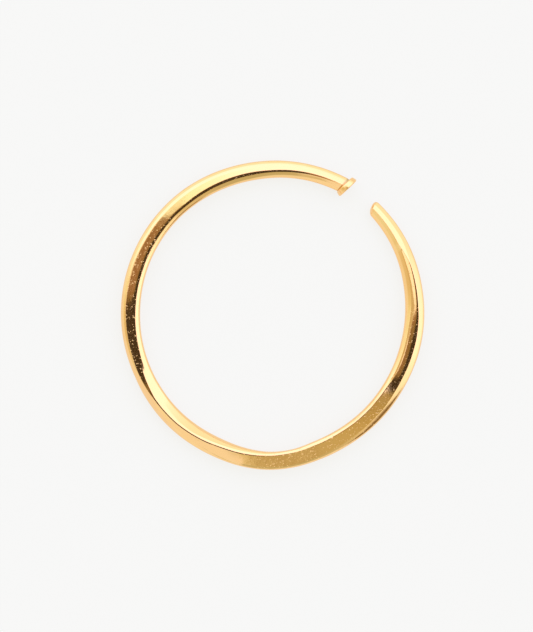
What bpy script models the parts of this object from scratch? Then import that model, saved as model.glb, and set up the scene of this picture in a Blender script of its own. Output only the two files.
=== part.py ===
"""Ear cuff: an open hoop of hand-hammered gold wire, with a small soldered collar at one end
and a blunt, thinned tip at the other. It lies on its side, resting on z = 0.

Metres, +Z up. Seen from above, the wire runs anticlockwise from the collar to the tip.
"""

import math

import bmesh
import bpy
from mathutils import Matrix, Vector

# Hoop
WIRE_WIDTH = 0.00080  # mean width of the wire, seen from above
HOOP_RADIUS = 0.00610  # mean radius of the wire's centre line
OPENING_WIDTH = 0.00129  # gap along the centre line, from the collar's middle to the tip's face
OPENING_SIDE = math.radians(54.2)  # direction of the gap, from +X
END_LEAN = math.radians(18.0)  # both ends face this much into the hoop

# Collar
COLLAR_DIAMETER = 0.00100
COLLAR_THICKNESS = 0.00022
COLLAR_EDGE = 0.00008  # rounding of its rims
COLLAR_RISE = 0.00340  # length over which the wire rises to the middle of the wider collar

# Tip
TIP_EDGE = 0.00012  # rounding of the wire's blunt end

# Section of the wire
FACETS = 6  # soft flats hammered round the wire
ARRIS_SHARPNESS = 18  # higher is a crisper edge between two flats
UNDERSIDE_FLAT = 0.000012  # depth of the narrow level face that the cuff rests on

# Fineness of the solid
STATIONS = 84
SECTION_SIDES = 36
COLLAR_SIDES = 40
EDGE_STEPS = 4  # steps round each rounded rim
SMOOTH_ANGLE = math.radians(35.0)  # edges sharper than this are drawn sharp

# One row for each section of the wire. run is the share of the way from collar to tip, radius
# and width are shares of HOOP_RADIUS and WIRE_WIDTH, and turn is how far the upper flat has
# rolled outwards, in degrees.
SECTION_COLUMNS = ("run", "radius", "width", "turn")
SECTIONS = (
    (0.000, 1.032, 0.85, 24.0),
    (0.057, 1.026, 0.89, 18.0),
    (0.115, 1.016, 0.97, 10.0),
    (0.187, 1.013, 1.03, 6.0),
    (0.216, 1.011, 1.02, 4.0),
    (0.259, 1.006, 1.02, 1.0),
    (0.330, 0.998, 1.03, 0.0),
    (0.412, 0.993, 0.97, 0.0),
    (0.424, 0.994, 0.98, -7.0),
    (0.437, 0.995, 1.00, -11.0),
    (0.474, 0.998, 1.02, -28.0),
    (0.535, 1.000, 1.04, -46.0),
    (0.569, 1.009, 1.01, -53.0),
    (0.598, 1.013, 0.97, -52.5),
    (0.627, 1.004, 0.97, -51.0),
    (0.656, 0.987, 1.02, -51.0),
    (0.696, 0.977, 1.03, -52.0),
    (0.763, 0.972, 1.05, -55.0),
    (0.782, 0.972, 1.05, -60.0),
    (0.834, 0.979, 1.07, -62.0),
    (0.892, 0.992, 0.98, -66.0),
    (0.949, 1.012, 0.86, -70.0),
    (1.000, 1.025, 0.76, -72.0),
)

GOLD_COLOUR = (1.0, 0.62, 0.26, 1.0)
GOLD_ROUGHNESS = 0.2


def clear_scene():
    for obj in list(bpy.data.objects):
        bpy.data.objects.remove(obj, do_unlink=True)


def make_collection(name):
    collection = bpy.data.collections.new(name)
    bpy.context.scene.collection.children.link(collection)
    return collection


def make_gold():
    gold = bpy.data.materials.new("hammered_gold")
    gold.use_nodes = True
    shader = gold.node_tree.nodes["Principled BSDF"]
    shader.inputs["Base Color"].default_value = GOLD_COLOUR
    shader.inputs["Metallic"].default_value = 1.0
    shader.inputs["Roughness"].default_value = GOLD_ROUGHNESS
    return gold


def section_value(name, run):
    """A column of SECTIONS at this run, on a smooth curve through its rows."""
    column = SECTION_COLUMNS.index(name)
    runs = [row[0] for row in SECTIONS]
    values = [row[column] for row in SECTIONS]
    if run <= runs[0]:
        return values[0]
    if run >= runs[-1]:
        return values[-1]

    def slope(row):
        before, after = max(row - 1, 0), min(row + 1, len(runs) - 1)
        return (values[after] - values[before]) / (runs[after] - runs[before])

    row = max(i for i, start in enumerate(runs) if start <= run)
    step = runs[row + 1] - runs[row]
    t = (run - runs[row]) / step
    return (
        values[row] * (2 * t**3 - 3 * t**2 + 1)
        + values[row + 1] * (3 * t**2 - 2 * t**3)
        + slope(row) * step * (t**3 - 2 * t**2 + t)
        + slope(row + 1) * step * (t**3 - t**2)
    )


def section_outline():
    """Soft-edged polygon with FACETS flats, one of them facing +Y, half a unit from its middle."""
    outline = []
    for i in range(SECTION_SIDES):
        angle = 2 * math.pi * i / SECTION_SIDES
        pull = 0.0
        for k in range(FACETS):
            facing = math.pi / 2 + 2 * math.pi * k / FACETS
            pull += max(0.0, math.cos(angle - facing)) ** ARRIS_SHARPNESS
        reach = 0.5 * pull ** (-1 / ARRIS_SHARPNESS)
        outline.append((reach * math.cos(angle), reach * math.sin(angle)))
    return outline


def opening_angle():
    return OPENING_WIDTH / HOOP_RADIUS


def hoop_angle(run):
    return OPENING_SIDE + opening_angle() / 2 + run * (2 * math.pi - opening_angle())


def run_share(length):
    """A length along the wire, as a share of the run."""
    return length / (HOOP_RADIUS * (2 * math.pi - opening_angle()))


def wire_station(run, outline):
    """Place, roll and scale of the wire's section at this run. Its lowest point is UNDERSIDE_FLAT
    below z = 0, where the underside is then levelled."""
    turn = math.radians(section_value("turn", run))
    outward = max(x * math.cos(turn) + y * math.sin(turn) for x, y in outline)
    downward = max(x * math.sin(turn) - y * math.cos(turn) for x, y in outline)
    scale = section_value("width", run) * WIRE_WIDTH / (2 * outward)
    radius = section_value("radius", run) * HOOP_RADIUS
    angle = hoop_angle(run)
    height = scale * downward - UNDERSIDE_FLAT
    return Vector((radius * math.cos(angle), radius * math.sin(angle), height)), turn, scale


def collar_lift(run, outline):
    """How much the wire rises towards the collar, so that the wider collar just meets z = 0."""
    t = min(max(1 - run / run_share(COLLAR_RISE), 0.0), 1.0)
    most = COLLAR_DIAMETER / 2 - wire_station(0, outline)[0].z
    return max(most, 0.0) * t * t


def wire_place(run, outline):
    place, turn, scale = wire_station(run, outline)
    place.z += collar_lift(run, outline)
    return place, turn, scale


def end_frame(run, outline):
    """The wire's middle at one end, and the way that end faces, leaned into the hoop."""
    outward = -1 if run == 0 else 1
    place = wire_place(run, outline)[0]
    nearby = wire_place(run - outward * run_share(WIRE_WIDTH / 20), outline)[0]
    facing = (place - nearby).normalized()
    facing.z = 0
    facing.rotate(Matrix.Rotation(outward * END_LEAN, 3, "Z"))
    return place, facing.normalized()


def wire_runs():
    """Shares of the run for the stations. The first and last lie past the ends, which are then
    trimmed on the slant, and none lies where the slanted trim passes."""
    slant = WIRE_WIDTH / 2 * math.tan(END_LEAN)
    margin = run_share(slant + WIRE_WIDTH / 10)
    step = (1 - 2 * margin) / (STATIONS - 1)
    return [-margin] + [margin + i * step for i in range(STATIONS)] + [1 + margin]


def make_wire_mesh(helpers):
    """The wire as a bevelled curve, made a mesh with its caps welded."""
    outline = section_outline()

    profile = bpy.data.curves.new("section_outline", "CURVE")
    spline = profile.splines.new("POLY")
    spline.points.add(len(outline) - 1)
    for point, (x, y) in zip(spline.points, outline):
        point.co = (x, y, 0, 1)
    spline.use_cyclic_u = True
    section = bpy.data.objects.new("section_outline", profile)
    section.hide_render = True
    section.display_type = "WIRE"
    helpers.objects.link(section)

    runs = wire_runs()
    route = bpy.data.curves.new("wire_route", "CURVE")
    route.dimensions = "3D"
    route.twist_mode = "Z_UP"
    route.bevel_mode = "OBJECT"
    route.bevel_object = section
    route.use_fill_caps = True
    spline = route.splines.new("POLY")
    spline.points.add(len(runs) - 1)
    for point, run in zip(spline.points, runs):
        place, turn, scale = wire_place(run, outline)
        point.co = (*place, 1)
        point.tilt = turn
        point.radius = scale
    wire = bpy.data.objects.new("wire_route", route)
    helpers.objects.link(wire)

    bpy.context.view_layer.update()
    graph = bpy.context.evaluated_depsgraph_get()
    mesh = bpy.data.meshes.new_from_object(wire.evaluated_get(graph))
    mesh.transform(wire.matrix_world)
    bpy.data.objects.remove(wire, do_unlink=True)
    bpy.data.objects.remove(section, do_unlink=True)

    shape = bmesh.new()
    shape.from_mesh(mesh)
    bmesh.ops.remove_doubles(shape, verts=shape.verts, dist=WIRE_WIDTH / 1000)
    bmesh.ops.recalc_face_normals(shape, faces=shape.faces)
    trim_end(shape, 0, outline)
    tip_rim = trim_end(shape, 1, outline)
    round_rim(shape, tip_rim, min(TIP_EDGE, WIRE_WIDTH / 4))
    level_underside(shape)
    bmesh.ops.recalc_face_normals(shape, faces=shape.faces)
    shape.to_mesh(mesh)
    shape.free()
    return mesh


def cut_flat(shape, parts, place, facing):
    """Cuts away what lies past a plane, closes the cut with one flat face, and gives its rim."""
    cut = bmesh.ops.bisect_plane(
        shape, geom=parts, plane_co=place, plane_no=facing, clear_outer=True
    )
    rim = [e for e in cut["geom_cut"] if isinstance(e, bmesh.types.BMEdge)]
    bmesh.ops.contextual_create(shape, geom=rim)
    return rim


def level_underside(shape):
    everything = list(shape.verts) + list(shape.edges) + list(shape.faces)
    cut_flat(shape, everything, Vector((0, 0, 0)), Vector((0, 0, -1)))


def round_rim(shape, edges, radius):
    bmesh.ops.bevel(
        shape, geom=edges, offset=radius, segments=EDGE_STEPS, profile=0.5, affect="EDGES"
    )


def trim_end(shape, run, outline):
    """Cuts one end of the wire to a flat face, and gives that face's rim."""
    place, facing = end_frame(run, outline)
    gap = Vector((math.cos(OPENING_SIDE), math.sin(OPENING_SIDE), 0))
    same_side = [v for v in shape.verts if (gap.cross(v.co).z > 0) == (run == 0)]
    near = [v for v in same_side if (v.co - place).length < 3 * WIRE_WIDTH]
    edges = {e for v in near for e in v.link_edges}
    faces = {f for v in near for f in v.link_faces}
    return cut_flat(shape, near + list(edges) + list(faces), place, facing)


def make_collar(helpers):
    """A small disc with rounded rims, square to the end of the wire that it is soldered to."""
    place, facing = end_frame(0, section_outline())
    shape = bmesh.new()
    bmesh.ops.create_cone(
        shape,
        cap_ends=True,
        segments=COLLAR_SIDES,
        radius1=COLLAR_DIAMETER / 2,
        radius2=COLLAR_DIAMETER / 2,
        depth=COLLAR_THICKNESS,
    )
    rims = [e for e in shape.edges if e.verts[0].co.z * e.verts[1].co.z > 0]
    round_rim(shape, rims, min(COLLAR_EDGE, COLLAR_THICKNESS * 0.45))
    upright = facing.to_track_quat("Z", "Y").to_matrix().to_4x4()
    shape.transform(Matrix.Translation(place) @ upright)
    mesh = bpy.data.meshes.new("collar")
    shape.to_mesh(mesh)
    shape.free()
    collar = bpy.data.objects.new("collar_helper", mesh)
    collar.hide_render = True
    collar.display_type = "WIRE"
    helpers.objects.link(collar)
    return collar


def centre_on_floor(mesh):
    """Moves the mesh so that its box stands on z = 0, centred over the origin."""
    xs, ys, zs = zip(*(v.co for v in mesh.vertices))
    middle = Vector(((min(xs) + max(xs)) / 2, (min(ys) + max(ys)) / 2, min(zs)))
    mesh.transform(Matrix.Translation(-middle))


def make_ear_cuff(parts, helpers):
    cuff = bpy.data.objects.new("ear_cuff_band", make_wire_mesh(helpers))
    parts.objects.link(cuff)
    solder = cuff.modifiers.new("solder_collar", "BOOLEAN")
    solder.operation = "UNION"
    solder.solver = "EXACT"
    solder.object = make_collar(helpers)

    bpy.context.view_layer.update()
    graph = bpy.context.evaluated_depsgraph_get()
    mesh = bpy.data.meshes.new_from_object(cuff.evaluated_get(graph))
    cuff.modifiers.clear()
    cuff.data = mesh
    mesh.name = "ear_cuff_band"
    centre_on_floor(mesh)

    mesh.materials.clear()
    mesh.materials.append(make_gold())
    mesh.shade_smooth()
    mesh.set_sharp_from_angle(angle=SMOOTH_ANGLE)
    return cuff


def main():
    clear_scene()
    parts = make_collection("ear_cuff")
    helpers = make_collection("helpers")
    make_ear_cuff(parts, helpers)


main()
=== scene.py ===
import math

import bmesh
import bpy
from mathutils import Matrix, Vector


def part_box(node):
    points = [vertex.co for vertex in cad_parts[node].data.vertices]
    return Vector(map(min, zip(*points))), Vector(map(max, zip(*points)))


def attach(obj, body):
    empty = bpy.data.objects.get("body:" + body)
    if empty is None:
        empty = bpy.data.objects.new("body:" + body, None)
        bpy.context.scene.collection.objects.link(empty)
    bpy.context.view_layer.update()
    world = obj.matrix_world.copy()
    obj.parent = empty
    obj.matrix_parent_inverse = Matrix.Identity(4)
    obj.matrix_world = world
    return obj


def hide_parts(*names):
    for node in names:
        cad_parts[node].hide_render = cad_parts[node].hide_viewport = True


# Ear cuff: an open hoop of hammered gold wire with a small soldered collar, lying on its side.
# Metres, +Z up. Angles round the hoop are degrees from +X, anticlockwise seen from above.

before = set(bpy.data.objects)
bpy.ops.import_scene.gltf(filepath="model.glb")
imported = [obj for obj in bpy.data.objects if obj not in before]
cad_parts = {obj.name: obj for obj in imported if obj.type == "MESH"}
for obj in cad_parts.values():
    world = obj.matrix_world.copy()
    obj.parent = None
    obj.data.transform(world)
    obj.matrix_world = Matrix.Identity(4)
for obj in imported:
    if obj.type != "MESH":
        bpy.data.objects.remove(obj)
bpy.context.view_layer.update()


# Helpers for objects and nodes

def addObject(name, data):
    made = bpy.data.objects.new(name, data)
    bpy.context.scene.collection.objects.link(made)
    return made


def addNode(tree, kind, at=(0, 0), **settings):
    node = tree.nodes.new(kind)
    node.location = at
    for name, value in settings.items():
        setattr(node, name, value)
    return node


def feed(tree, source, target):
    if isinstance(source, bpy.types.NodeSocket):
        tree.links.new(source, target)
    else:
        target.default_value = source


def mathNode(tree, operation, *inputs, clamp=False):
    node = addNode(tree, "ShaderNodeMath", operation=operation, use_clamp=clamp)
    for source, target in zip(inputs, node.inputs):
        feed(tree, source, target)
    return node.outputs[0]


def vectorNode(tree, operation, *inputs):
    node = addNode(tree, "ShaderNodeVectorMath", operation=operation)
    for i, source in enumerate(inputs):
        target = node.inputs["Scale"] if operation == "SCALE" and i == 1 else node.inputs[i]
        feed(tree, source, target)
    return node.outputs["Value" if operation == "DOT_PRODUCT" else "Vector"]


def smoothRange(tree, value, start, end, low=0.0, high=1.0):
    # value carried from start..end to low..high, easing in and out
    node = addNode(tree, "ShaderNodeMapRange", interpolation_type="SMOOTHSTEP")
    names = ("Value", "From Min", "From Max", "To Min", "To Max")
    for name, source in zip(names, (value, start, end, low, high)):
        feed(tree, source, node.inputs[name])
    return node.outputs[0]


def mixColours(tree, a, b, factor):
    node = addNode(tree, "ShaderNodeMix", data_type="RGBA")
    feed(tree, factor, node.inputs["Factor"])
    feed(tree, a, node.inputs[6])  # the A and B that take colours
    feed(tree, b, node.inputs[7])
    return node.outputs[2]


def addBump(tree, height, distance, shader):
    bump = addNode(tree, "ShaderNodeBump")
    bump.inputs["Strength"].default_value = 1.0
    bump.inputs["Distance"].default_value = distance
    feed(tree, height, bump.inputs["Height"])
    feed(tree, bump.outputs[0], shader.inputs["Normal"])


def newGroup(name, given, made):
    group = bpy.data.node_groups.new(name, "ShaderNodeTree")
    for title, kind in given:
        group.interface.new_socket(title, in_out="INPUT", socket_type=kind)
    for title, kind in made:
        group.interface.new_socket(title, in_out="OUTPUT", socket_type=kind)
    return group, addNode(group, "NodeGroupInput", (-600, 0)), addNode(group, "NodeGroupOutput", (600, 0))


def noiseNode(tree, place, size, detail):
    noise = addNode(tree, "ShaderNodeTexNoise")
    feed(tree, place, noise.inputs["Vector"])
    feed(tree, mathNode(tree, "DIVIDE", 1.0, size), noise.inputs["Scale"])
    noise.inputs["Detail"].default_value = detail
    return noise.outputs[0]


def useGroup(tree, group, **inputs):
    node = addNode(tree, "ShaderNodeGroup", node_tree=group)
    for name, source in inputs.items():
        feed(tree, source, node.inputs[name])
    return node.outputs


# Camera: straight down at the hoop, with the photo's framing

cameraValues = {
    "frameHeight": 0.02689,  # length of floor that the picture shows from top to bottom
    "aim": (-0.00026, -0.000036, 0.0004),  # the point in the middle of the picture
    "distance": 0.25,
    "sensor": 36.0,  # millimetres, along the picture's long side
    "clip": (0.01, 5.0),
}


def makeCamera(values):
    camera = addObject("camera", bpy.data.cameras.new("camera"))
    camera.data.sensor_width = values["sensor"]
    camera.data.lens = values["sensor"] * values["distance"] / values["frameHeight"]
    camera.data.clip_start, camera.data.clip_end = values["clip"]
    camera.location = Vector(values["aim"]) + Vector((0, 0, values["distance"]))
    bpy.context.scene.camera = camera


makeCamera(cameraValues)
print("camera ready")


# Wire: its route, width and hammered flats

wireValues = {
    "width": 0.00080,  # mean width seen from above
    "hoopRadius": 0.00610,  # mean radius of the centre line
    "opening": 0.00129,  # from the collar's middle to the tip, along the centre line
    "openingSide": 54.2,
    "endLean": 18.0,  # both ends face this much into the hoop
    "leanLength": 0.0007,  # stretch over which the sections come to lean
    "thickness": 0.93,  # share of the width
    "restFlat": 0.000012,  # depth of the level underside
    "tipRound": 0.00022,  # length of the rounded tip
    "tipBluntness": 2.3,  # 2 is a round dome, higher is blunter
    "tipEnd": 0.03,  # share of its size at which the tip closes
    "tipStations": 36,
    "collarRise": 0.0034,  # stretch that rises to the collar
    "stations": 600,
    "crispness": 220.0,  # of the edges between two flats on top
    "rimCrispness": 85.0,  # and towards the rims, where they are worn softer
    "rimSpan": (38.0, 52.0),  # degrees from straight up over which one turns to the other
    "neckAt": 0.00017,  # middle of the fine groove where the collar is soldered on
    "neckLength": 0.00009,
    "neckDepth": 0.05,  # share of the half width
    "neckStations": 28,
    "seamEnd": 0.00026,  # how far the painted shade of the joint with the collar reaches along the wire
    "seamFade": 0.00008,  # and over how much of that it fades
}

# Centre line and width, as shares of hoopRadius and width; run is the share of the way from collar to tip
routeColumns = ("run", "radius", "width")
route = (
    (0.000, 1.032, 0.85),
    (0.057, 1.026, 0.89),
    (0.115, 1.016, 0.97),
    (0.187, 1.013, 1.03),
    (0.216, 1.011, 1.02),
    (0.259, 1.006, 1.02),
    (0.330, 0.998, 1.03),
    (0.412, 0.993, 0.97),
    (0.424, 0.994, 0.98),
    (0.437, 0.995, 1.00),
    (0.474, 0.998, 1.02),
    (0.535, 1.000, 1.04),
    (0.569, 1.009, 1.01),
    (0.598, 1.013, 0.97),
    (0.627, 1.004, 0.97),
    (0.656, 0.987, 1.02),
    (0.696, 0.977, 1.03),
    (0.763, 0.972, 1.05),
    (0.782, 0.972, 1.05),
    (0.834, 0.979, 1.07),
    (0.892, 0.992, 0.98),
    (0.949, 1.012, 0.86),
    (1.000, 1.025, 0.76),
)

# Upper flats by degrees round the hoop, from the outside in. Each flat's tilt is in degrees from level,
# outwards positive, and each edge between two flats is a share of the half width, -1 inside to 1 outside.
flatColumns = (
    "angle", "bevel", "edge1", "shoulder", "edge2", "slope", "edge3", "top",
    "edge4", "lip", "edge5", "inner", "edge6", "under",
)
flats = (
    (60, 44, 0.84, 40, 0.68, 31, 0.42, 22, 0.00, -4, -0.16, -27, -0.40, -40),
    (68, 44, 0.84, 40, 0.68, 31, 0.42, 21, -0.02, -2.6, -0.22, -27, -0.50, -40),
    (75, 44, 0.84, 40, 0.68, 30, 0.42, 19, -0.03, -2.2, -0.30, -27, -0.62, -41),
    (90, 44, 0.87, 40, 0.68, 29, 0.42, 15, -0.09, -2, -0.38, -27, -0.68, -41),
    (100, 44, 0.90, 40, 0.68, 28, 0.42, 12, -0.10, -2, -0.46, -27, -0.78, -41),
    (110, 44, 0.90, 40, 0.68, 27, 0.42, 10, -0.17, -2, -0.50, -27, -0.84, -41),
    (120, 44, 0.90, 40, 0.68, 27, 0.42, 8, -0.26, -2, -0.55, -27, -0.83, -43),
    (128, 44, 0.88, 40, 0.68, 26, 0.42, 7, -0.32, -2, -0.58, -27, -0.81, -43.5),
    (135, 44, 0.84, 40, 0.68, 24, 0.42, 5.9, -0.29, -2, -0.56, -26, -0.81, -43.5),
    (138.5, 44, 0.84, 40, 0.68, 22, 0.44, 4.4, -0.33, -2, -0.57, -24, -0.82, -45),
    (150, 44, 0.84, 40, 0.68, 21, 0.44, 4.1, -0.31, -2, -0.58, -21, -0.84, -52),
    (160, 44, 0.84, 39, 0.68, 20, 0.50, 3.9, -0.31, -2, -0.62, -20, -0.84, -52),
    (169, 44, 0.84, 39, 0.68, 21, 0.50, 3.4, -0.30, -1.5, -0.57, -20, -0.84, -52),
    (176, 50, 0.84, 40, 0.68, 24, 0.53, 0.8, -0.20, -0.5, -0.57, -24, -0.84, -52),
    (195, 52, 0.84, 43, 0.68, 30, 0.50, 0.4, -0.10, -0.4, -0.48, -25, -0.84, -52),
    (202.5, 56, 0.84, 47, 0.68, 38, 0.53, 0.4, -0.02, -3.9, -0.43, -27, -0.82, -50),
    (205, 58, 0.84, 52, 0.68, 46, 0.50, -0.6, -0.03, -9, -0.35, -28, -0.82, -50),
    (210, 60, 0.84, 55, 0.68, 49, 0.43, -0.6, 0.05, -13, -0.32, -30, -0.82, -50),
    (215, 58, 0.84, 53, 0.68, 46, 0.33, -0.3, 0.16, -16, -0.25, -22, -0.82, -50),
    (220, 56, 0.84, 50, 0.68, 42, 0.29, 0.2, 0.15, -17, -0.25, -34, -0.82, -50),
    (228, 50, 0.84, 44, 0.68, 36, 0.25, 0.6, 0.11, -18, -0.10, -38, -0.80, -52),
    (235, 46, 0.84, 38, 0.68, 30, 0.16, 1.0, 0.02, -18, -0.11, -41, -0.80, -56),
    (242, 43, 0.84, 32, 0.68, 24, 0.05, 1.2, -0.09, -18, -0.29, -42, -0.80, -58),
    (250, 40, 0.84, 24, 0.68, 17, -0.13, 1.2, -0.27, -18, -0.46, -42, -0.80, -58),
    (258, 40, 0.88, 17, 0.70, 10, -0.28, 0.8, -0.40, -18, -0.62, -42, -0.86, -58),
    (266, 41, 0.88, 19, 0.70, 9.5, -0.47, 0.5, -0.55, -18, -0.72, -43, -0.90, -59),
    (275, 42, 0.86, 26, 0.72, 8.5, -0.59, -1, -0.62, -18, -0.84, -43, -0.93, -60),
    (290, 46, 0.84, 28, 0.66, 8, -0.57, -4, -0.58, -20, -0.84, -43, -0.93, -60),
    (300, 47, 0.80, 29, 0.58, 8, -0.60, -4, -0.61, -28, -0.80, -43, -0.93, -60),
    (308, 42, 0.74, 31, 0.50, 7, -0.58, -5, -0.59, -34, -0.76, -43, -0.93, -60),
    (312, 42, 0.70, 33, 0.48, 6.2, -0.59, -5, -0.60, -34, -0.68, -36, -0.83, -49),
    (317, 42, 0.69, 34, 0.47, 5.4, -0.58, 5.3, -0.59, -34, -0.62, -36, -0.83, -49),
    (319, 42, 0.69, 34, 0.47, 5.0, -0.30, 4.9, -0.61, -34, -0.63, -36, -0.83, -49),
    (322, 42, 0.70, 33, 0.46, 4.7, 0.00, 4.6, -0.60, -33, -0.63, -35, -0.83, -49),
    (325, 43, 0.74, 32, 0.43, 4.2, 0.10, 4.0, -0.58, -25, -0.65, -35, -0.83, -48),
    (328, 44, 0.80, 31, 0.41, 3.2, 0.14, 2.2, -0.55, -14, -0.65, -34, -0.83, -47),
    (331, 45, 0.85, 31, 0.41, 1.8, 0.14, -1.6, -0.47, -11, -0.64, -34, -0.83, -47),
    (335, 46, 0.90, 31, 0.40, 1.0, 0.12, -3.7, -0.38, -11, -0.59, -33, -0.83, -46),
    (350, 50, 0.87, 31, 0.47, 0.8, 0.10, -3.7, -0.36, -11, -0.58, -33, -0.83, -48),
    (356, 50, 0.90, 31, 0.45, 0.8, 0.16, -4, -0.31, -11, -0.55, -33, -0.84, -48),
    (360, 50, 0.88, 32, 0.43, 0.8, 0.20, -5.5, -0.22, -11, -0.49, -32, -0.79, -46),
    (364, 50, 0.89, 32, 0.39, 0.8, 0.23, -7, -0.06, -11, -0.40, -29, -0.70, -42),
    (368, 50, 0.88, 33, 0.38, 0.8, 0.23, -7, -0.11, -11, -0.36, -30, -0.66, -40),
    (375, 50, 0.87, 34, 0.35, 0.8, 0.24, -7, -0.16, -13, -0.34, -31, -0.64, -40),
    (381, 50, 0.85, 35, 0.30, 0.8, 0.26, -7, -0.20, -15, -0.32, -32, -0.64, -40),
    (382, 50, 0.85, 35, 0.31, 20, 0.25, -7, -0.20, -16, -0.32, -32, -0.64, -40),
    (390, 44, 0.86, 40, 0.46, 22, -0.13, -7, -0.17, -20, -0.28, -30, -0.60, -40),
    (408, 44, 0.84, 40, 0.46, 22, -0.08, -7, -0.12, -20, -0.20, -30, -0.50, -40),
)
roundFlats = ((70, 0.93), (-70, -0.93))  # narrow rounding at the rims: tilt and edge
backFlats = ((125, 0.98), (180, 0.93), (-125, 0.98))  # flats of the unseen side: tilt and reach

# Points across each flat, all round from the middle of the back, inside first
flatPoints = (5, 8, 6, 5, 8, 12, 10, 16, 16, 8, 7, 6, 6, 8, 5)

# How rough the hammer left the metal, by degrees round the hoop
grainColumns = ("angle", "grain")
grains = (
    (60, 0.3), (95, 0.3), (132, 0.4), (141, 1.2), (202, 1.2), (208, 0.2), (255, 0.3), (264, 2.2),
    (280, 2.6), (302, 2.2), (314, 1.2), (326, 0.6), (345, 0.7), (360, 0.9), (366, 0.3), (408, 0.3),
)


def curveValue(rows, column, at):
    # a column of a table at this place, on a smooth curve through its rows
    places = [row[0] for row in rows]
    values = [row[column] for row in rows]
    at = min(max(at, places[0]), places[-1])
    row = min(max(i for i, place in enumerate(places) if place <= at), len(rows) - 2)

    def slope(i):
        before, after = max(i - 1, 0), min(i + 1, len(rows) - 1)
        return (values[after] - values[before]) / (places[after] - places[before])

    step = places[row + 1] - places[row]
    t = (at - places[row]) / step
    return (
        values[row] * (2 * t**3 - 3 * t**2 + 1)
        + values[row + 1] * (3 * t**2 - 2 * t**3)
        + slope(row) * step * (t**3 - 2 * t**2 + t)
        + slope(row + 1) * step * (t**3 - t**2)
    )


def straightValue(rows, column, at):
    # a column of a table at this place, on straight lines between its rows
    at = min(max(at, rows[0][0]), rows[-1][0])
    row = min(max(i for i, r in enumerate(rows) if r[0] <= at), len(rows) - 2)
    t = (at - rows[row][0]) / (rows[row + 1][0] - rows[row][0])
    return rows[row][column] * (1 - t) + rows[row + 1][column] * t


def hoopDegrees(values, run):
    gap = math.degrees(values["opening"] / values["hoopRadius"])
    return values["openingSide"] + gap / 2 + run * (360 - gap)


def runLength(values):
    return values["hoopRadius"] * (2 * math.pi - values["opening"] / values["hoopRadius"])


def wirePoint(values, run):
    # middle of the wire at this run, and half its width there
    angle = math.radians(hoopDegrees(values, run))
    radius = values["hoopRadius"] * curveValue(route, routeColumns.index("radius"), run)
    half = values["width"] / 2 * curveValue(route, routeColumns.index("width"), run)
    height = values["thickness"] * half - values["restFlat"]
    t = max(1 - run * runLength(values) / values["collarRise"], 0.0)
    height += (collarValues["diameter"] / 2 - height) * t * t  # the end meets the collar's middle
    return Vector((radius * math.cos(angle), radius * math.sin(angle), height)), half


def wireDirection(values, run):
    small = 0.0005  # of the run
    after = wirePoint(values, min(run + small, 1))[0]
    before = wirePoint(values, max(run - small, 0))[0]
    return (after - before).normalized()


def joinedReach(tilt, reach, nextTilt, edge):
    # reach of the next flat, so that the two meet at this edge
    height = (reach - edge * math.sin(tilt)) / math.cos(tilt)
    return edge * math.sin(nextTilt) + height * math.cos(nextTilt)


def flatsAt(values, degrees):
    # (tilt, reach) of each flat round the wire, from the inside back round to the outside back
    numbers = [straightValue(flats, i, degrees) for i in range(1, len(flatColumns))]
    (outerTilt, outerEdge), (innerTilt, innerEdge) = roundFlats
    tilts = [math.radians(t) for t in (outerTilt, *numbers[0::2], innerTilt)]
    edges = [outerEdge, *numbers[1::2], innerEdge]
    middle = next(i for i, edge in enumerate(edges) if edge <= 0)
    reaches = [0.0] * len(tilts)
    reaches[middle] = values["thickness"] * math.cos(tilts[middle])
    for i in range(middle - 1, -1, -1):  # outwards
        reaches[i] = joinedReach(tilts[i + 1], reaches[i + 1], tilts[i], edges[i])
    for i in range(middle + 1, len(tilts)):  # inwards
        reaches[i] = joinedReach(tilts[i - 1], reaches[i - 1], tilts[i], edges[i - 1])
    sideTilt = math.pi / 2
    back = [(math.radians(tilt), reach) for tilt, reach in backFlats]
    upper = list(zip(tilts, reaches))[::-1]
    return [back[2], (-sideTilt, 1.0), *upper, (sideTilt, 1.0), back[0], back[1]]


def edgeAngle(one, other):
    # direction, from straight up, of the edge where two flats meet
    (t1, r1), (t2, r2) = one, other
    across = (r1 * math.cos(t2) - r2 * math.cos(t1)) / math.sin(t1 - t2)
    up = (r2 * math.sin(t1) - r1 * math.sin(t2)) / math.sin(t1 - t2)
    return math.atan2(across, up)


def flatSpans(section):
    # the angle that each flat takes up, from the middle of the back all round
    edges = [-math.pi, edgeAngle(section[-1], section[0])]
    edges += [edgeAngle(a, b) for a, b in zip(section, section[1:])]
    edges = [-math.pi] + [max(e, -math.pi) for e in edges[1:]] + [math.pi]
    for i in range(1, len(edges)):
        edges[i] = max(edges[i], edges[i - 1])
    return [b - a for a, b in zip(edges, edges[1:])]


def smoothStep(t):
    t = min(max(t, 0.0), 1.0)
    return t * t * (3 - 2 * t)


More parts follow.
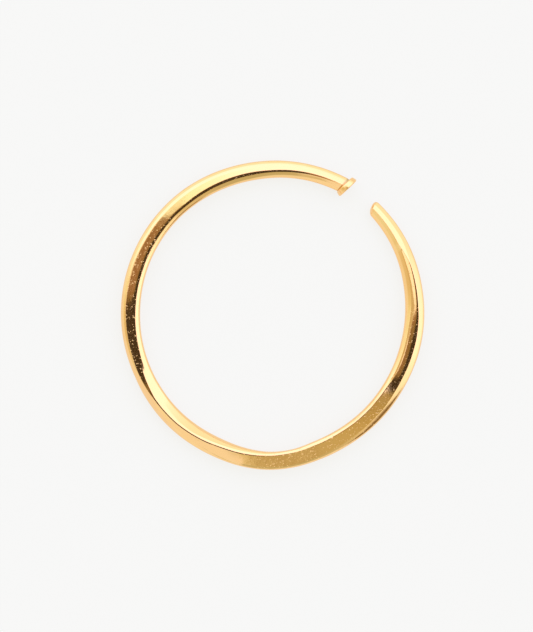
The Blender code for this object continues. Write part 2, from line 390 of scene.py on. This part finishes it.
def makeRoute(values):
    # the centre line as loose edges, with what the sweep needs at each point
    length = runLength(values)
    neckCount, bodyCount, tipCount = values["neckStations"], values["stations"], values["tipStations"]
    tipShare = values["tipRound"] / length
    neckShare = 2 * values["neckAt"] / length
    neck = [i / neckCount * neckShare for i in range(neckCount)]
    body = [neckShare + i / (bodyCount - 1) * (1 - tipShare - neckShare) for i in range(bodyCount)]
    tip = [1 - tipShare * math.cos(math.pi / 2 * i / tipCount) for i in range(1, tipCount)]
    runs = neck + body + tip + [1.0]
    points = [wirePoint(values, run) for run in runs]
    mesh = bpy.data.meshes.new("wireRoute")
    mesh.from_pydata([p for p, _ in points], [(i, i + 1) for i in range(len(runs) - 1)], [])

    def store(name, kind, numbers):
        attribute = mesh.attributes.new(name, kind, "POINT")
        if kind == "FLOAT_VECTOR":
            attribute.data.foreach_set("vector", [x for vector in numbers for x in vector])
        else:
            attribute.data.foreach_set("value", numbers)

    store("middle", "FLOAT_VECTOR", [p for p, _ in points])
    outward, slide, dome = [], [], []
    lean = math.tan(math.radians(values["endLean"]))
    for run in runs:
        along = wireDirection(values, run)
        outward.append(along.cross(Vector((0, 0, 1))).normalized())
        fromTip = (1 - run) * length / values["leanLength"]
        fromCollar = run * length / values["leanLength"]
        slide.append(along * lean * (smoothStep(1 - fromTip) - smoothStep(1 - fromCollar)))
        t = max(1 - (1 - run) / tipShare, 0.0)
        power = values["tipBluntness"]
        rounded = max(1 - t**power, 0.0) ** (1 / power) if t < 1 else 0.0
        fromNeck = abs(run * length - values["neckAt"]) / values["neckLength"]
        dome.append(max(rounded * (1 - values["neckDepth"] * smoothStep(1 - 2 * fromNeck)), values["tipEnd"]))
    store("outward", "FLOAT_VECTOR", outward)
    store("slide", "FLOAT_VECTOR", slide)
    store("halfWidth", "FLOAT", [half for _, half in points])
    store("dome", "FLOAT", dome)
    degrees = [hoopDegrees(values, run) for run in runs]
    store("grain", "FLOAT", [straightValue(grains, grainColumns.index("grain"), d) for d in degrees])
    # how much painted shade, and a rougher finish, the wire gets near the collar
    solder = [(values["seamEnd"] / length - run) / values["seamFade"] * length for run in runs]
    store("seam", "FLOAT", [smoothStep(t) for t in solder])
    sections = [flatsAt(values, d) for d in degrees]
    for i in range(len(sections[0])):
        store(f"tilt{i}", "FLOAT", [s[i][0] for s in sections])
        store(f"reach{i}", "FLOAT", [s[i][1] for s in sections])
    spans = [flatSpans(s) for s in sections]
    for i in range(len(flatPoints)):
        store(f"span{i}", "FLOAT", [s[i] for s in spans])
    return mesh, len(sections[0])


def sweepTree(values, material, flatCount):
    # Geometry Nodes: a ring of points round each station, pulled in to the flats hammered there
    tree = bpy.data.node_groups.new("hammeredSweep", "GeometryNodeTree")
    sockets = tree.interface
    sockets.new_socket("Geometry", in_out="INPUT", socket_type="NodeSocketGeometry")
    sockets.new_socket("Geometry", in_out="OUTPUT", socket_type="NodeSocketGeometry")
    for name in ("Crispness", "Rim Crispness", "Dimple Size", "Dimple Depth"):
        sockets.new_socket(name, in_out="INPUT", socket_type="NodeSocketFloat")
    given = addNode(tree, "NodeGroupInput")

    def named(name, kind="FLOAT"):
        node = addNode(tree, "GeometryNodeInputNamedAttribute", data_type=kind)
        node.inputs["Name"].default_value = name
        return node.outputs["Attribute"]

    def combined(**numbers):
        node = addNode(tree, "ShaderNodeCombineXYZ")
        for axis, source in numbers.items():
            tree.links.new(source, node.inputs[axis])
        return node.outputs[0]

    def moved(shape, how, vector):
        node = addNode(tree, "GeometryNodeSetPosition")
        tree.links.new(shape, node.inputs["Geometry"])
        tree.links.new(vector, node.inputs[how])
        return node.outputs[0]

    def position():
        return addNode(tree, "GeometryNodeInputPosition").outputs[0]

    ringPoints = sum(flatPoints)
    line = addNode(tree, "GeometryNodeMeshToCurve")
    tree.links.new(given.outputs["Geometry"], line.inputs[0])
    upright = addNode(tree, "GeometryNodeSetCurveNormal", mode="Z_UP")
    tree.links.new(line.outputs[0], upright.inputs[0])
    ring = addNode(tree, "GeometryNodeCurvePrimitiveCircle")
    ring.inputs["Resolution"].default_value = ringPoints
    ring.inputs["Radius"].default_value = values["width"] / 2
    sweep = addNode(tree, "GeometryNodeCurveToMesh")
    sweep.inputs["Fill Caps"].default_value = True
    tree.links.new(upright.outputs[0], sweep.inputs["Curve"])
    tree.links.new(ring.outputs[0], sweep.inputs["Profile Curve"])

    # which flat each point belongs to, and the direction from the wire's middle that it gets
    middle, outward = named("middle", "FLOAT_VECTOR"), named("outward", "FLOAT_VECTOR")
    arm = vectorNode(tree, "SUBTRACT", position(), middle)
    armSide = vectorNode(tree, "DOT_PRODUCT", arm, outward)
    armUp = vectorNode(tree, "DOT_PRODUCT", arm, (0, 0, 1))
    even = mathNode(tree, "ARCTAN2", armSide, armUp)
    turned = mathNode(tree, "ADD", mathNode(tree, "DIVIDE", even, 2 * math.pi), 0.5)
    count = mathNode(tree, "MULTIPLY", turned, ringPoints)
    tilt, passed = -math.pi, 0
    for i, points in enumerate(flatPoints):  # a point keeps to the same flat all along the wire
        share = mathNode(tree, "DIVIDE", mathNode(tree, "SUBTRACT", count, passed), points, clamp=True)
        tilt = mathNode(tree, "ADD", mathNode(tree, "MULTIPLY", share, named(f"span{i}")), tilt)
        passed += points

    # how far out the flats leave it: a smooth minimum of their distances, sharper where they are crisp
    rimStart, rimEnd = (math.radians(degrees) for degrees in values["rimSpan"])
    crisp = smoothRange(
        tree, mathNode(tree, "ABSOLUTE", tilt), rimStart, rimEnd,
        given.outputs["Crispness"], given.outputs["Rim Crispness"],
    )
    pull, most = None, None
    for i in range(flatCount):
        facing, reach = named(f"tilt{i}"), named(f"reach{i}")
        toward = mathNode(tree, "COSINE", mathNode(tree, "SUBTRACT", tilt, facing))
        share = mathNode(tree, "DIVIDE", mathNode(tree, "MAXIMUM", toward, 0.0), reach)
        term = mathNode(tree, "POWER", share, crisp)
        pull = term if pull is None else mathNode(tree, "ADD", pull, term)
        most = term if most is None else mathNode(tree, "MAXIMUM", most, term)
    shared = mathNode(tree, "SUBTRACT", 1.0, mathNode(tree, "DIVIDE", most, pull))
    ridge = mathNode(tree, "MULTIPLY", shared, 2.0)  # 1 where two flats meet, 0 in the middle of one
    marked = addNode(tree, "GeometryNodeStoreNamedAttribute", data_type="FLOAT", domain="POINT")
    marked.inputs["Name"].default_value = "ridge"
    tree.links.new(sweep.outputs[0], marked.inputs["Geometry"])
    tree.links.new(ridge, marked.inputs["Value"])
    root = mathNode(tree, "DIVIDE", -1.0, crisp)
    radius = mathNode(tree, "MULTIPLY", mathNode(tree, "POWER", pull, root), named("halfWidth"))
    radius = mathNode(tree, "MULTIPLY", radius, named("dome"))
    sideways = mathNode(tree, "MULTIPLY", radius, mathNode(tree, "SINE", tilt))
    upward = mathNode(tree, "MULTIPLY", radius, mathNode(tree, "COSINE", tilt))
    place = vectorNode(tree, "ADD", middle, vectorNode(tree, "SCALE", outward, sideways))
    slide = vectorNode(tree, "SCALE", named("slide", "FLOAT_VECTOR"), sideways)
    place = vectorNode(tree, "ADD", place, slide)
    place = vectorNode(tree, "ADD", place, combined(Z=upward))
    shaped = moved(marked.outputs[0], "Position", place)

    # shallow dimples of the hammer
    noise = addNode(tree, "ShaderNodeTexNoise", noise_dimensions="3D")
    noise.inputs["Detail"].default_value = 1.0
    feed(tree, mathNode(tree, "DIVIDE", 1.0, given.outputs["Dimple Size"]), noise.inputs["Scale"])
    depth = mathNode(tree, "SUBTRACT", noise.outputs[0], 0.5)
    depth = mathNode(tree, "MULTIPLY", depth, given.outputs["Dimple Depth"])
    push = vectorNode(tree, "SCALE", addNode(tree, "GeometryNodeInputNormal").outputs[0], depth)
    dimpled = moved(shaped, "Offset", push)

    # the level underside
    here = addNode(tree, "ShaderNodeSeparateXYZ")
    tree.links.new(position(), here.inputs[0])
    x, y, z = here.outputs
    rested = moved(dimpled, "Position", combined(X=x, Y=y, Z=mathNode(tree, "MAXIMUM", z, 0.0)))

    smooth = addNode(tree, "GeometryNodeSetShadeSmooth")
    tree.links.new(rested, smooth.inputs["Geometry"])
    real = addNode(tree, "GeometryNodeRealizeInstances")
    tree.links.new(smooth.outputs[0], real.inputs[0])
    painted = addNode(tree, "GeometryNodeSetMaterial")
    painted.inputs["Material"].default_value = material
    tree.links.new(real.outputs[0], painted.inputs["Geometry"])
    finished = addNode(tree, "NodeGroupOutput")
    tree.links.new(painted.outputs[0], finished.inputs["Geometry"])
    return tree


dimpleValues = {"size": 0.0011, "depth": 0.000004}
sweepAttributes = ("tilt", "reach", "span", "middle", "outward", "slide", "halfWidth", "dome")


def makeWire(values, dimples, material):
    line, flatCount = makeRoute(values)
    source = addObject("wireRoute", line)
    tree = sweepTree(values, material, flatCount)
    sweep = source.modifiers.new("hammeredSweep", "NODES")
    sweep.node_group = tree
    chosen = {
        "Crispness": values["crispness"],
        "Rim Crispness": values["rimCrispness"],
        "Dimple Size": dimples["size"],
        "Dimple Depth": dimples["depth"],
    }
    for item in tree.interface.items_tree:
        if item.in_out == "INPUT" and item.name in chosen:
            sweep[item.identifier] = chosen[item.name]
    bpy.context.view_layer.update()
    mesh = bpy.data.meshes.new_from_object(source.evaluated_get(bpy.context.evaluated_depsgraph_get()))
    mesh.name = "hammeredWire"
    bpy.data.objects.remove(source, do_unlink=True)
    for name in [a.name for a in mesh.attributes if a.name.startswith(sweepAttributes)]:
        mesh.attributes.remove(mesh.attributes[name])
    return addObject("hammeredWire", mesh)


# Collar: a small disc with rounded rims, soldered on the wire's end

collarValues = {
    "diameter": 0.00100,
    "thickness": 0.00028,
    "setBack": 0.00003,  # of its middle from the wire's end
    "bulge": 0.000012,  # how much each face is domed
    "corner": 0.00007,  # radius of the rounded rims
    "taper": 13.0,  # degrees by which the rim narrows towards the wire
    "grain": 0.25,
    "sides": 160,
    "cornerSteps": 10,
}


def makeCollar(values, wire, material):
    place = wirePoint(wire, 0)[0]
    facing = -wireDirection(wire, 0)
    facing.z = 0
    facing.rotate(Matrix.Rotation(-math.radians(wire["endLean"]), 3, "Z"))
    place = place - facing.normalized() * values["setBack"]
    radius, half = values["diameter"] / 2, values["thickness"] / 2
    corner, lean, bulge = values["corner"], math.radians(values["taper"]), values["bulge"]
    flat = half - bulge
    front = Vector((radius - corner, flat - corner))  # middles of the two rounded corners
    back = Vector((radius - corner - (flat - corner) * 2 * math.tan(lean), corner - flat))

    # half of the disc's outline, from the middle of the front to the middle of the back
    shares = (0.0, 0.25, 0.5, 0.75)
    outline = [(front.x * share, half - bulge * share**2) for share in shares]
    for middle, start, end in ((front, math.pi / 2, -lean), (back, -lean, -math.pi / 2)):
        for i in range(values["cornerSteps"] + 1):
            angle = start + (end - start) * i / values["cornerSteps"]
            outline.append((middle.x + corner * math.cos(angle), middle.y + corner * math.sin(angle)))
    outline += [(back.x * share, bulge * share**2 - half) for share in shares[::-1]]

    shape = bmesh.new()
    verts = [shape.verts.new((x, 0, z)) for x, z in outline]
    edges = [shape.edges.new(pair) for pair in zip(verts, verts[1:])]
    bmesh.ops.spin(
        shape, geom=verts + edges, cent=(0, 0, 0), axis=(0, 0, 1), angle=2 * math.pi,
        steps=values["sides"], use_merge=True,
    )
    bmesh.ops.remove_doubles(shape, verts=shape.verts, dist=1e-7)
    bmesh.ops.recalc_face_normals(shape, faces=shape.faces)
    upright = facing.to_track_quat("Z", "Y").to_matrix().to_4x4()
    shape.transform(Matrix.Translation(place) @ upright)
    mesh = bpy.data.meshes.new("collarDisc")
    shape.to_mesh(mesh)
    shape.free()
    mesh.materials.append(material)
    mesh.shade_smooth()
    grain = mesh.attributes.new("grain", "FLOAT", "POINT")
    grain.data.foreach_set("value", [values["grain"]] * len(mesh.vertices))
    return addObject("collarDisc", mesh)


# Gold

goldValues = {
    "colour": (1.0, 0.645, 0.30, 1.0),
    "warm": (1.0, 0.60, 0.25, 1.0),  # where the plate is a little redder
    "worn": (1.0, 0.70, 0.37, 1.0),  # paler, on the edges between flats
    "solder": (0.62, 0.41, 0.19, 1.0),  # painted shade: darker and duller in the joint with the collar, where the two parts shade each other
    "warmSize": 0.0016,
    "warmAmount": 0.45,
    "wornAmount": 0.35,
    "roughness": 0.085,
    "roughnessSpread": 0.05,
    "solderRoughness": 0.15,
    "grainSize": 0.00007,
    "grainHeight": 0.0000020,
    "wearSize": 6,  # of the patches of wear, in grain sizes
    "unevenSize": 8,  # and of the uneven polish
}
grainValues = {
    "fine": 0.45,  # how much each counts in the height
    "coarse": 0.6,
    "specks": 0.9,
    "coarseSize": 3.7,  # in sizes of the fine grain
    "speckRange": (0.14, 0.24),  # the fine grain's height over which specks rise
}
wearRange = (0.35, 0.62)  # of the noise that lets wear show


def makeGrainGroup(values):
    # small pits and bumps: a height about zero, and a mask of the higher specks
    group, given, made = newGroup(
        "fineGrain",
        (("Position", "NodeSocketVector"), ("Size", "NodeSocketFloat"), ("Amount", "NodeSocketFloat")),
        (("Height", "NodeSocketFloat"), ("Specks", "NodeSocketFloat")),
    )
    place, size = given.outputs["Position"], given.outputs["Size"]
    fine = mathNode(group, "SUBTRACT", noiseNode(group, place, size, 2.0), 0.5)
    coarseSize = mathNode(group, "MULTIPLY", size, values["coarseSize"])
    coarse = mathNode(group, "SUBTRACT", noiseNode(group, place, coarseSize, 1.0), 0.5)
    specks = smoothRange(group, fine, *values["speckRange"])
    height = mathNode(group, "MULTIPLY", fine, values["fine"])
    height = mathNode(group, "ADD", height, mathNode(group, "MULTIPLY", coarse, values["coarse"]))
    height = mathNode(group, "ADD", height, mathNode(group, "MULTIPLY", specks, values["specks"]))
    for name, source in (("Height", height), ("Specks", specks)):
        feed(group, mathNode(group, "MULTIPLY", source, given.outputs["Amount"]), made.inputs[name])
    return group


def makeWearGroup():
    # wear that comes and goes along the edges between flats
    group, given, made = newGroup(
        "edgeWear",
        (("Position", "NodeSocketVector"), ("Ridge", "NodeSocketFloat"), ("Size", "NodeSocketFloat")),
        (("Mask", "NodeSocketFloat"),),
    )
    patches = noiseNode(group, given.outputs["Position"], given.outputs["Size"], 2.0)
    patches = smoothRange(group, patches, *wearRange)
    feed(group, mathNode(group, "MULTIPLY", given.outputs["Ridge"], patches, clamp=True), made.inputs["Mask"])
    return group


grainGroup = makeGrainGroup(grainValues)
wearGroup = makeWearGroup()


def makeGold(values):
    gold = bpy.data.materials.new("hammeredGold")
    gold.use_nodes = True
    tree = gold.node_tree
    shader = tree.nodes["Principled BSDF"]
    shader.inputs["Metallic"].default_value = 1.0
    place = addNode(tree, "ShaderNodeTexCoord").outputs["Object"]
    amount, ridge, seam = (
        addNode(tree, "ShaderNodeAttribute", attribute_name=name).outputs["Fac"]
        for name in ("grain", "ridge", "seam")
    )
    size = values["grainSize"]
    grain = useGroup(tree, grainGroup, Position=place, Size=size, Amount=amount)
    worn = useGroup(tree, wearGroup, Position=place, Ridge=ridge, Size=size * values["wearSize"])["Mask"]

    warm = mathNode(tree, "MULTIPLY", noiseNode(tree, place, values["warmSize"], 2.0), values["warmAmount"])
    colour = mixColours(tree, values["colour"], values["warm"], warm)
    colour = mixColours(tree, colour, values["worn"], mathNode(tree, "MULTIPLY", worn, values["wornAmount"]))
    # painted shade in the joint with the collar
    colour = mixColours(tree, colour, values["solder"], seam)
    feed(tree, colour, shader.inputs["Base Color"])

    spread = values["roughnessSpread"]
    uneven = mathNode(tree, "SUBTRACT", noiseNode(tree, place, size * values["unevenSize"], 3.0), 0.5)
    rough = mathNode(tree, "MULTIPLY", uneven, spread)
    rough = mathNode(tree, "ADD", rough, mathNode(tree, "MULTIPLY", grain["Specks"], spread))
    rough = mathNode(tree, "ADD", rough, mathNode(tree, "MULTIPLY", seam, values["solderRoughness"]))
    rough = mathNode(tree, "ADD", rough, values["roughness"])
    feed(tree, rough, shader.inputs["Roughness"])
    addBump(tree, grain["Height"], values["grainHeight"], shader)
    return gold


gold = makeGold(goldValues)
wire = makeWire(wireValues, dimpleValues, gold)
print("wire ready:", len(wire.data.polygons), "faces")
collar = makeCollar(collarValues, wireValues, gold)
print("collar ready")


# Both pieces move together onto the middle of the CAD box

def centreOnFrame(pieces, box):
    xs, ys, zs = zip(*(v.co for piece in pieces for v in piece.data.vertices))
    low, high = box
    shift = Vector((
        (low[0] + high[0] - min(xs) - max(xs)) / 2,
        (low[1] + high[1] - min(ys) - max(ys)) / 2,
        0,
    ))
    for piece in pieces:
        piece.data.transform(Matrix.Translation(shift))
        piece.data.update()


centreOnFrame([wire, collar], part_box("ear_cuff_band"))
for piece in (wire, collar):
    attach(piece, "root")
    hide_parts("ear_cuff_band")
print("pieces ride on the frame")


# Floor and studio

floorValues = {
    "size": 2.0,
    "colour": (0.12, 0.12, 0.118, 1.0),
    "glow": (0.80, 0.80, 0.785, 1.0),  # a light table's own light, which keeps shadows faint
    "roughness": 0.9,
    "grainSize": 0.0002,
    "grainHeight": 0.000004,
}


def makeFloor(values):
    shape = bmesh.new()
    bmesh.ops.create_grid(shape, x_segments=1, y_segments=1, size=values["size"] / 2)
    mesh = bpy.data.meshes.new("floor")
    shape.to_mesh(mesh)
    shape.free()
    paper = bpy.data.materials.new("paleFloor")
    paper.use_nodes = True
    tree = paper.node_tree
    shader = tree.nodes["Principled BSDF"]
    shader.inputs["Base Color"].default_value = values["colour"]
    shader.inputs["Roughness"].default_value = values["roughness"]
    shader.inputs["Specular IOR Level"].default_value = 0.0
    shader.inputs["Emission Color"].default_value = values["glow"]
    shader.inputs["Emission Strength"].default_value = 1.0
    place = addNode(tree, "ShaderNodeTexCoord").outputs["Object"]
    grain = useGroup(tree, grainGroup, Position=place, Size=values["grainSize"], Amount=1.0)
    addBump(tree, grain["Height"], values["grainHeight"], shader)
    mesh.materials.append(paper)
    floor = addObject("floor", mesh)


# Light inside a soft white tent, in three rings: overhead, halfway down and low.
# Columns: degrees round from +X, red, green, blue.
overhead = (
    (0, 1.60, 1.54, 1.85),
    (95, 1.60, 1.56, 1.95),
    (110, 1.40, 1.48, 1.50),
    (126, 1.20, 1.40, 1.25),
    (135, 1.10, 1.28, 1.15),
    (141, 0.75, 0.72, 0.50),
    (148, 0.67, 0.59, 0.37),
    (180, 0.66, 0.58, 0.36),
    (205, 0.70, 0.66, 0.45),
    (212, 0.98, 0.98, 0.96),
    (257, 0.98, 0.97, 0.93),
    (265, 0.78, 0.77, 0.53),
    (271, 0.60, 0.56, 0.34),
    (277, 0.50, 0.43, 0.24),
    (284, 0.58, 0.54, 0.32),
    (300, 0.60, 0.55, 0.31),
    (306, 0.58, 0.50, 0.24),
    (316, 0.48, 0.41, 0.19),
    (326, 0.45, 0.36, 0.16),
    (332, 0.50, 0.42, 0.22),
    (337, 1.60, 1.54, 1.85),
)
halfway = (
    (0, 1.60, 1.56, 1.90),
    (105, 1.60, 1.56, 2.05),
    (140, 1.60, 1.56, 2.00),
    (150, 1.50, 1.50, 1.80),
    (160, 1.20, 1.31, 1.35),
    (168, 0.95, 1.05, 0.82),
    (176, 0.86, 0.86, 0.58),
    (185, 0.77, 0.69, 0.43),
    (196, 0.79, 0.74, 0.50),
    (204, 0.84, 0.86, 0.66),
    (212, 0.87, 0.95, 0.78),
    (221, 0.88, 0.95, 0.78),
    (228, 0.96, 0.98, 0.95),
    (251, 0.97, 0.98, 0.95),
    (262, 0.60, 0.60, 0.42),
    (285, 0.56, 0.57, 0.39),
    (298, 0.60, 0.60, 0.42),
    (308, 0.74, 0.71, 0.50),
    (315, 0.95, 0.95, 0.85),
    (322, 1.10, 1.18, 1.10),
    (330, 1.25, 1.32, 1.35),
    (342, 1.60, 1.56, 1.80),
)
low = (
    (0, 1.02, 1.18, 1.15),
    (150, 1.02, 1.18, 1.15),
    (175, 0.97, 1.00, 0.93),
    (325, 0.97, 1.00, 0.93),
    (345, 1.02, 1.18, 1.15),
)
tentValues = {
    "overheadEdge": (24.0, 31.0),  # degrees from straight up over which overhead turns to halfway
    "lowEdge": (56.0, 88.0),  # and halfway to low
    "shade": (0.28, 0.205, 0.10, 1.0),  # a low dark card
    "shadeAngles": (303.0, 327.0),
    "shadeHeights": (69.0, 93.0),  # its top and bottom, in degrees from straight up
    "shadeFade": 3.0,  # degrees to each side of its edges over which it fades
    "shadeTopFade": 7.0,
    "backdrop": 0.93,  # what the camera sees past the floor
    "rampTop": 4.0,  # the light that a ramp's white stands for
}

# Patches near straight up, each over the ones before it: middle, half size, softness of the edge, colour.
# Places are tangents of half the angle from straight up.
tentPatches = (
    ((-0.19, -0.50), (0.085, 0.060), 0.30, (0.70, 0.70, 0.52, 1.0)),  # a pale gold card
    ((-0.117, 0.012), (0.030, 0.028), 0.35, (1.35, 1.35, 1.40, 1.0)),  # a bright slit
    ((-0.034, 0.026), (0.056, 0.054), 0.15, (0.34, 0.19, 0.10, 1.0)),  # a copper rim beside the opening
    ((-0.018, 0.048), (0.045, 0.078), 0.15, (0.30, 0.22, 0.10, 1.0)),  # and a bronze one
    ((0.012, -0.015), (0.050, 0.075), 0.20, (0.055, 0.040, 0.022, 1.0)),  # the dark opening for the camera
)


def makeStudio(values, patches):
    world = bpy.data.worlds.new("softTent")
    world.use_nodes = True
    tree = world.node_tree
    tree.nodes.clear()
    direction = addNode(tree, "ShaderNodeTexCoord").outputs["Generated"]
    parts = addNode(tree, "ShaderNodeSeparateXYZ")
    tree.links.new(direction, parts.inputs[0])
    x, y, z = parts.outputs
    turn = mathNode(tree, "DIVIDE", mathNode(tree, "ARCTAN2", y, x), 2 * math.pi)
    turn = mathNode(tree, "FRACT", mathNode(tree, "ADD", turn, 1.0))

    def ringOfLight(rows):
        ramp = addNode(tree, "ShaderNodeValToRGB")
        stops = ramp.color_ramp.elements
        while len(stops) > 1:
            stops.remove(stops[0])
        for i, (angle, *colour) in enumerate(rows + ((360, *rows[0][1:]),)):
            stop = stops[0] if i == 0 else stops.new(angle / 360)
            stop.position = angle / 360
            stop.color = (*[c / values["rampTop"] for c in colour], 1)
        tree.links.new(turn, ramp.inputs[0])
        return vectorNode(tree, "SCALE", ramp.outputs[0], values["rampTop"])

    # three rings, which turn into one another on the way down
    down = mathNode(tree, "DIVIDE", mathNode(tree, "ARCCOSINE", z), math.pi / 180)
    lower = smoothRange(tree, down, *values["overheadEdge"])
    light = mixColours(tree, ringOfLight(overhead), ringOfLight(halfway), lower)
    light = mixColours(tree, light, ringOfLight(low), smoothRange(tree, down, *values["lowEdge"]))

    # the low dark card, in from each of its four edges
    around = mathNode(tree, "MULTIPLY", turn, 360.0)
    first, last = values["shadeAngles"]
    top, bottom = values["shadeHeights"]
    fade, topFade = values["shadeFade"], values["shadeTopFade"]
    shade = 1.0
    for where, start, end in (
        (around, first - fade, first + fade),
        (around, last + fade, last - fade),
        (down, top - topFade, top + topFade),
        (down, bottom + fade, bottom - fade),
    ):
        shade = mathNode(tree, "MULTIPLY", shade, smoothRange(tree, where, start, end))
    light = mixColours(tree, light, values["shade"], shade)

    # oval patches round the place that the camera looks through
    over = mathNode(tree, "ADD", z, 1.0001)  # clear of zero straight down
    for middle, size, softness, colour in patches:
        away = 0.0
        for axis, centre, reach in zip((x, y), middle, size):
            offset = mathNode(tree, "SUBTRACT", mathNode(tree, "DIVIDE", axis, over), centre)
            share = mathNode(tree, "DIVIDE", offset, reach)
            away = mathNode(tree, "ADD", away, mathNode(tree, "POWER", share, 2.0))
        away = mathNode(tree, "SQRT", away)
        cover = smoothRange(tree, away, 1.0 + softness, 1.0 - softness)
        light = mixColours(tree, light, colour, cover)

    seen = addNode(tree, "ShaderNodeLightPath").outputs["Is Camera Ray"]
    light = mixColours(tree, light, (*[values["backdrop"]] * 3, 1.0), seen)
    background = addNode(tree, "ShaderNodeBackground")
    tree.links.new(light, background.inputs["Color"])
    output = addNode(tree, "ShaderNodeOutputWorld")
    tree.links.new(background.outputs[0], output.inputs["Surface"])
    world.cycles.sampling_method = "MANUAL"
    world.cycles.sample_map_resolution = 1024  # fine enough for the small patches
    bpy.context.scene.world = world
    bpy.context.scene.view_settings.view_transform = "Standard"


makeFloor(floorValues)
makeStudio(tentValues, tentPatches)
print("studio ready")
